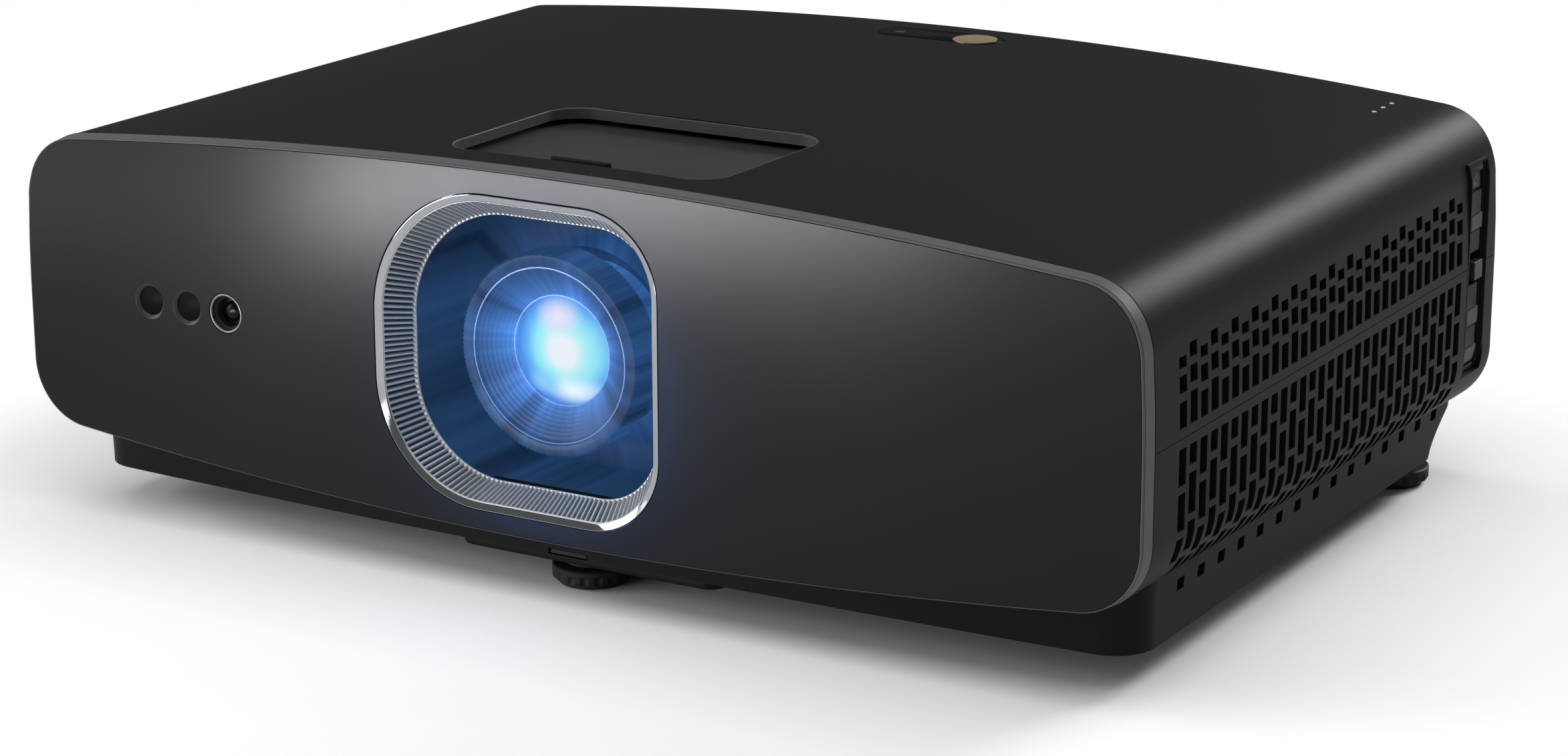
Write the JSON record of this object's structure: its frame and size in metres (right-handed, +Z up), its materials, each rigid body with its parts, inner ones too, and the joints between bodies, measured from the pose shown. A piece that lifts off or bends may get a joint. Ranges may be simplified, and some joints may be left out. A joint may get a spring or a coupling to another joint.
{
  "type": "home projector",
  "caption": "Wide home projector with a ribbed lens opening, knurled focus ring, vented sides, sliding control door on top, side keys and screw feet.",
  "frame": {"origin": "middle of the floor under the projector, at the height of its feet", "axes": "+X to the right seen from the front, +Y from the front to the back, +Z up"},
  "size_m": [0.4206, 0.288, 0.1411],
  "materials": {
    "case_black": "fine texture, near-black",
    "panel_grey": "satin metallic dark grey",
    "silver": "satin",
    "funnel_grey": "satin metallic grey",
    "black_plastic": "matte black",
    "gloss_black": "glossy black",
    "lens_glass": "coated optical glass",
    "gold": "satin gold",
    "white_lens": "milky light guide",
    "key_grey": "matte dark grey",
    "rubber": "matte rubber",
    "steel": "plain sheet steel",
    "board": "green circuit board",
    "copper": "bright copper",
    "engine_grey": "cast aluminium",
    "fin_metal": "thin sheet aluminium"
  },
  "bodies": {
    "case": {"upper_case": "case_black", "lower_case": "case_black", "front_panel": "panel_grey", "lens_bezel_ring": "silver", "lens_funnel": "funnel_grey", "lens_shroud": "black_plastic", "sensor_windows": "gloss_black", "camera_ring": "silver", "camera_lens": "gloss_black", "lens_mount_frame": "steel", "guide_rods": "steel", "door_rails": "black_plastic", "top_ir_window": "gloss_black", "trim_disc": "gold", "status_lights": "white_lens", "keypad_frame": "case_black", "key_board": "board", "rear_panel": "case_black", "power_inlet": "black_plastic", "inlet_pins": "steel", "hdmi_ports": "steel", "usb_port": "steel", "audio_jack": "black_plastic", "chassis_plate": "steel", "light_engine": "engine_grey", "imaging_chip": "board", "imaging_heat_sink": "fin_metal", "led_modules": "board", "heat_pipes": "copper", "fin_stack": "fin_metal", "intake_fan_frame": "black_plastic", "exhaust_fan_frame": "black_plastic", "main_board": "board", "power_supply_board": "board", "speakers": "black_plastic"},
    "lens": {"lens_barrel": "black_plastic", "lens_carriage": "engine_grey", "front_lens_glass": "lens_glass", "rear_lens_glass": "lens_glass"},
    "focus": {"focus_ring": "black_plastic"},
    "zoom": {"zoom_ring": "black_plastic"},
    "dial": {"shift_dial": "black_plastic"},
    "door": {"sliding_door": "case_black"},
    "power_key": {"power_button": "key_grey"},
    "menu_key": {"menu_button": "key_grey"},
    "back_key": {"back_button": "key_grey"},
    "source_key": {"source_button": "key_grey"},
    "stick_press": {"joystick_stem": "black_plastic"},
    "stick_pivot": {"joystick_pivot": "black_plastic"},
    "stick_cap": {"joystick_cap": "key_grey"},
    "front_leg": {"front_foot_leg": "black_plastic"},
    "front_pad": {"front_foot_pad": "rubber"},
    "front_disc": {"front_foot_disc": "black_plastic"},
    "release_button": {"foot_release_button": "black_plastic"},
    "left_pad": {"rear_left_pad": "rubber"},
    "left_disc": {"rear_left_disc": "black_plastic"},
    "right_pad": {"rear_right_pad": "rubber"},
    "right_disc": {"rear_right_disc": "black_plastic"},
    "intake_rotor": {"intake_fan_rotor": "black_plastic"},
    "exhaust_rotor": {"exhaust_fan_rotor": "black_plastic"}
  },
  "joints": [
    {"name": "door_slide", "type": "slide", "parent": "case", "child": "door", "axis": [0, 1, 0], "range_m": [0, 0.055]},
    {"name": "shift_dial_turn", "type": "hinge", "parent": "case", "child": "dial", "pos_m": [0.038, -0.067, 0.1], "axis": [0, 0, 1], "range_deg": [-720, 720]},
    {"name": "lens_shift", "type": "slide", "parent": "case", "child": "lens", "axis": [0, 0, 1], "range_m": [-0.004, 0.004]},
    {"name": "focus_turn", "type": "hinge", "parent": "lens", "child": "focus", "pos_m": [-0.01, -0.114, 0.0761], "axis": [0, 1, 0], "range_deg": [-60, 60]},
    {"name": "zoom_turn", "type": "hinge", "parent": "lens", "child": "zoom", "pos_m": [-0.01, -0.088, 0.0761], "axis": [0, 1, 0], "range_deg": [-25, 25]},
    {"name": "power_press", "type": "slide", "parent": "case", "child": "power_key", "axis": [-1, 0, 0], "range_m": [0, 0.001], "stiffness_N_per_m": 400},
    {"name": "menu_press", "type": "slide", "parent": "case", "child": "menu_key", "axis": [-1, 0, 0], "range_m": [0, 0.001], "stiffness_N_per_m": 400},
    {"name": "back_press", "type": "slide", "parent": "case", "child": "back_key", "axis": [-1, 0, 0], "range_m": [0, 0.001], "stiffness_N_per_m": 400},
    {"name": "source_press", "type": "slide", "parent": "case", "child": "source_key", "axis": [-1, 0, 0], "range_m": [0, 0.001], "stiffness_N_per_m": 400},
    {"name": "stick_push", "type": "slide", "parent": "case", "child": "stick_press", "axis": [-1, 0, 0], "range_m": [0, 0.0008], "stiffness_N_per_m": 400},
    {"name": "stick_up_down", "type": "hinge", "parent": "stick_press", "child": "stick_pivot", "pos_m": [0.2027, 0.1242, 0.0783], "axis": [0, 1, 0], "range_deg": [-4, 4], "stiffness_Nm_per_rad": 0.05},
    {"name": "stick_side", "type": "hinge", "parent": "stick_pivot", "child": "stick_cap", "pos_m": [0.2027, 0.1242, 0.0783], "axis": [0, 0, 1], "range_deg": [-4, 4], "stiffness_Nm_per_rad": 0.05},
    {"name": "foot_release_press", "type": "slide", "parent": "case", "child": "release_button", "axis": [0, 1, 0], "range_m": [0, 0.0015], "stiffness_N_per_m": 400},
    {"name": "front_leg_drop", "type": "slide", "parent": "case", "child": "front_leg", "axis": [0, 0, -1], "range_m": [0, 0.016]},
    {"name": "front_foot_turn", "type": "hinge", "parent": "front_pad", "child": "front_disc", "pos_m": [0, -0.1155, 0.004], "axis": [0, 0, 1], "range_deg": [0, 960]},
    {"name": "front_foot_travel", "type": "slide", "parent": "front_leg", "child": "front_pad", "axis": [0, 0, -1], "range_m": [0, 0.004]},
    {"name": "left_foot_turn", "type": "hinge", "parent": "left_pad", "child": "left_disc", "pos_m": [-0.184, 0.117, 0.004], "axis": [0, 0, 1], "range_deg": [0, 1920]},
    {"name": "left_foot_travel", "type": "slide", "parent": "case", "child": "left_pad", "axis": [0, 0, -1], "range_m": [0, 0.008]},
    {"name": "right_foot_turn", "type": "hinge", "parent": "right_pad", "child": "right_disc", "pos_m": [0.184, 0.117, 0.004], "axis": [0, 0, 1], "range_deg": [0, 1920]},
    {"name": "right_foot_travel", "type": "slide", "parent": "case", "child": "right_pad", "axis": [0, 0, -1], "range_m": [0, 0.008]},
    {"name": "intake_fan_spin", "type": "hinge", "parent": "case", "child": "intake_rotor", "pos_m": [-0.1895, -0.014, 0.078], "axis": [1, 0, 0], "continuous": true},
    {"name": "exhaust_fan_spin", "type": "hinge", "parent": "case", "child": "exhaust_rotor", "pos_m": [0.1895, 0.011, 0.078], "axis": [1, 0, 0], "continuous": true}
  ],
  "couplings": [
    {"joint": "shift_dial_turn", "follows": "lens_shift", "rad_per_m": 3141.6},
    {"joint": "front_foot_turn", "follows": "front_foot_travel", "rad_per_m": 4188.8},
    {"joint": "left_foot_turn", "follows": "left_foot_travel", "rad_per_m": 4188.8},
    {"joint": "right_foot_turn", "follows": "right_foot_travel", "rad_per_m": 4188.8}
  ]
}
